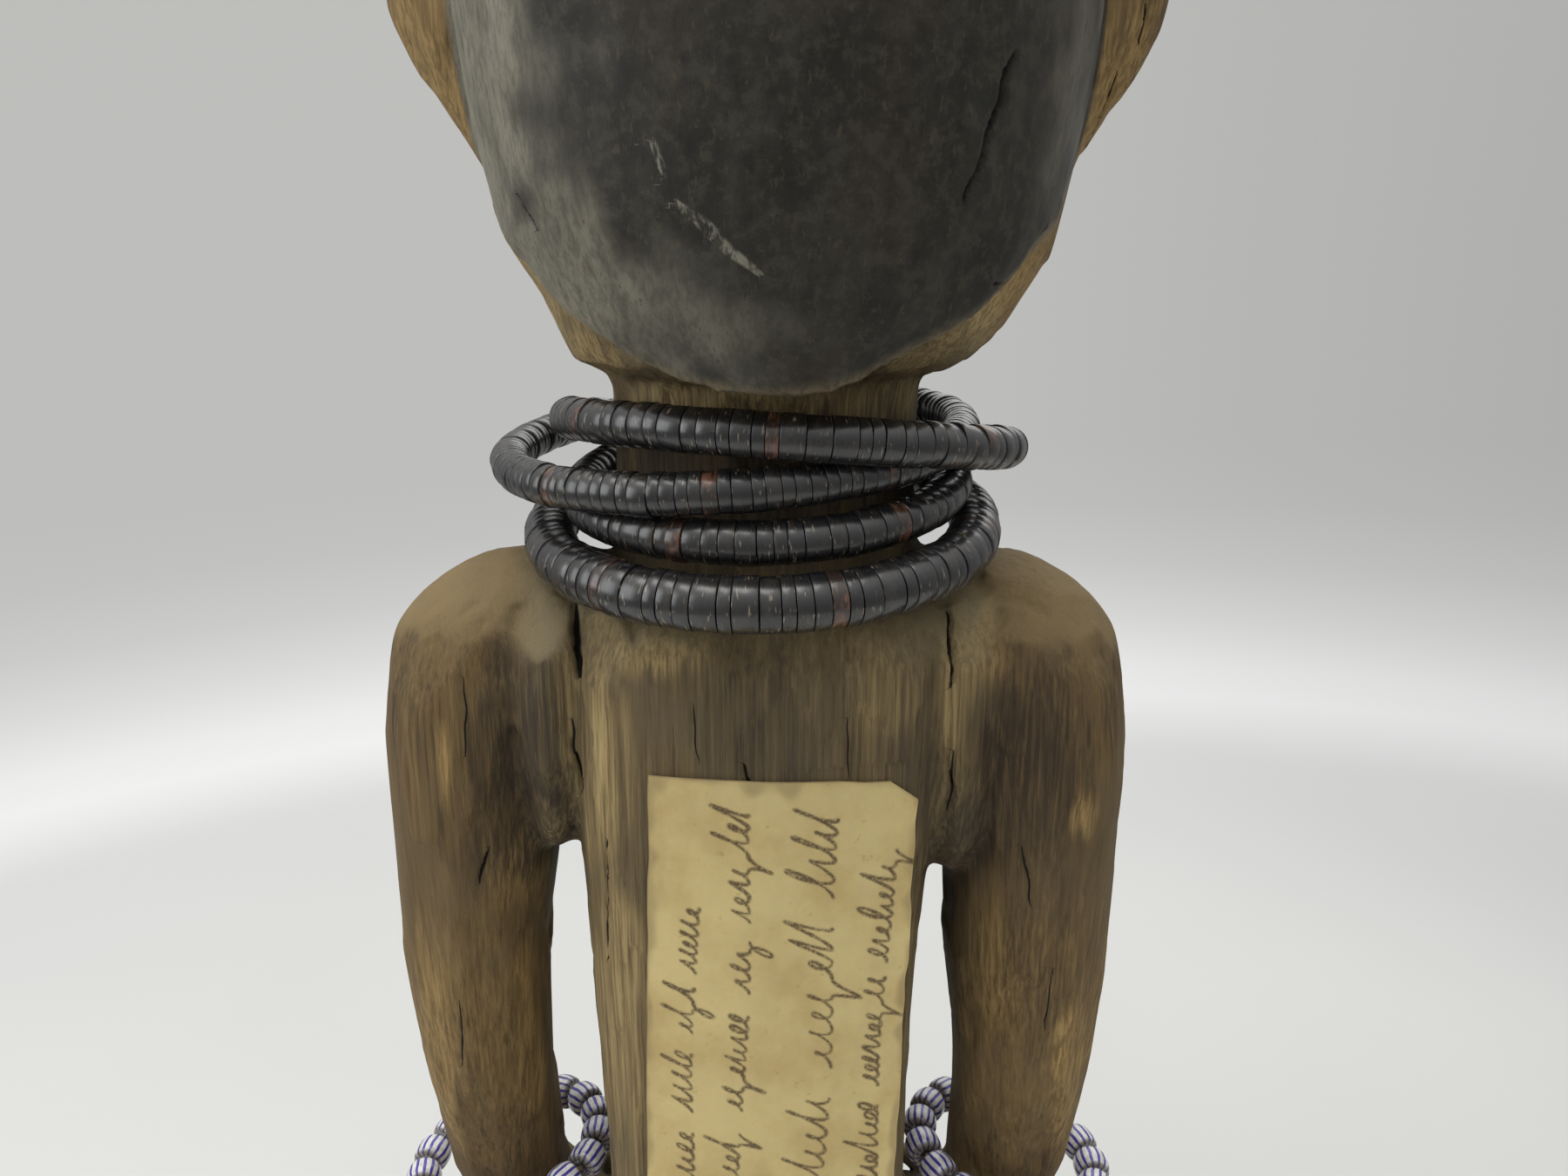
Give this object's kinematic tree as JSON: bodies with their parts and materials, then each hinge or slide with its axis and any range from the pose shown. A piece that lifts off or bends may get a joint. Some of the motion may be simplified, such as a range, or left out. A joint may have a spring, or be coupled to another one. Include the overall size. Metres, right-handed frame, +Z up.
{
  "type": "carved wooden doll",
  "caption": "Standing carved wooden doll with large head, hair cap and big ears, shell-disc neck strands, glass-bead wrist strings and a paper label on its back.",
  "frame": {"origin": "middle of the plinth's flat underside", "axes": "+Z up along the body, -Y the way the face looks, +X towards the doll's left hand"},
  "size_m": [0.1407, 0.115, 0.391],
  "materials": {
    "carved_wood": "weathered, oiled and worn",
    "label_paper": "aged matt paper",
    "dark_shell": "satin, polished by wear",
    "brown_shell": "satin, polished by wear",
    "cotton_cord": "twisted and soiled",
    "striped_glass": "opaque cream glass with blue stripes"
  },
  "bodies": {
    "figure": {"carved_figure": "carved_wood", "paper_label": "label_paper"},
    "neck_strand_1": {"neck_strand_1_dark_discs": "dark_shell", "neck_strand_1_brown_discs": "brown_shell", "neck_cord_1": "cotton_cord"},
    "neck_strand_2": {"neck_strand_2_dark_discs": "dark_shell", "neck_strand_2_brown_discs": "brown_shell", "neck_cord_2": "cotton_cord"},
    "neck_strand_3": {"neck_strand_3_dark_discs": "dark_shell", "neck_strand_3_brown_discs": "brown_shell", "neck_cord_3": "cotton_cord"},
    "neck_strand_4": {"neck_strand_4_dark_discs": "dark_shell", "neck_strand_4_brown_discs": "brown_shell", "neck_cord_4": "cotton_cord"},
    "left_wrist_string": {"left_wrist_cord": "cotton_cord"},
    "left_wrist_beads": {"left_wrist_beads": "striped_glass"},
    "right_wrist_string": {"right_wrist_cord": "cotton_cord"},
    "right_wrist_beads": {"right_wrist_beads": "striped_glass"}
  },
  "joints": [
    {"name": "neck_strand_1_turn", "type": "hinge", "parent": "figure", "child": "neck_strand_1", "pos_m": [-0.0059, -0.0055, 0.26215], "axis": [-0.0666, -0.0934, 0.9934], "continuous": true},
    {"name": "neck_strand_2_turn", "type": "hinge", "parent": "figure", "child": "neck_strand_2", "pos_m": [0.0033, -0.00875, 0.2609], "axis": [0.0656, 0.0865, 0.9941], "continuous": true},
    {"name": "neck_strand_3_turn", "type": "hinge", "parent": "figure", "child": "neck_strand_3", "pos_m": [-0.002, -0.0006, 0.2548], "axis": [0.0326, 0.1502, 0.9881], "continuous": true},
    {"name": "neck_strand_4_turn", "type": "hinge", "parent": "figure", "child": "neck_strand_4", "pos_m": [-0.00145, -0.001, 0.2476], "axis": [0.0148, 0.158, 0.9873], "continuous": true},
    {"name": "left_wrist_slide", "type": "slide", "parent": "figure", "child": "left_wrist_string", "axis": [0.0298, 0.1191, 0.9924], "range_m": [-0.002, 0.015]},
    {"name": "left_wrist_turn", "type": "hinge", "parent": "left_wrist_string", "child": "left_wrist_beads", "pos_m": [0.0496, -0.0054, 0.118], "axis": [0.2079, 0, 0.9781], "continuous": true},
    {"name": "right_wrist_slide", "type": "slide", "parent": "figure", "child": "right_wrist_string", "axis": [-0.0298, 0.1191, 0.9924], "range_m": [-0.002, 0.015]},
    {"name": "right_wrist_turn", "type": "hinge", "parent": "right_wrist_string", "child": "right_wrist_beads", "pos_m": [-0.0496, -0.0054, 0.118], "axis": [-0.2079, 0, 0.9781], "continuous": true}
  ]
}
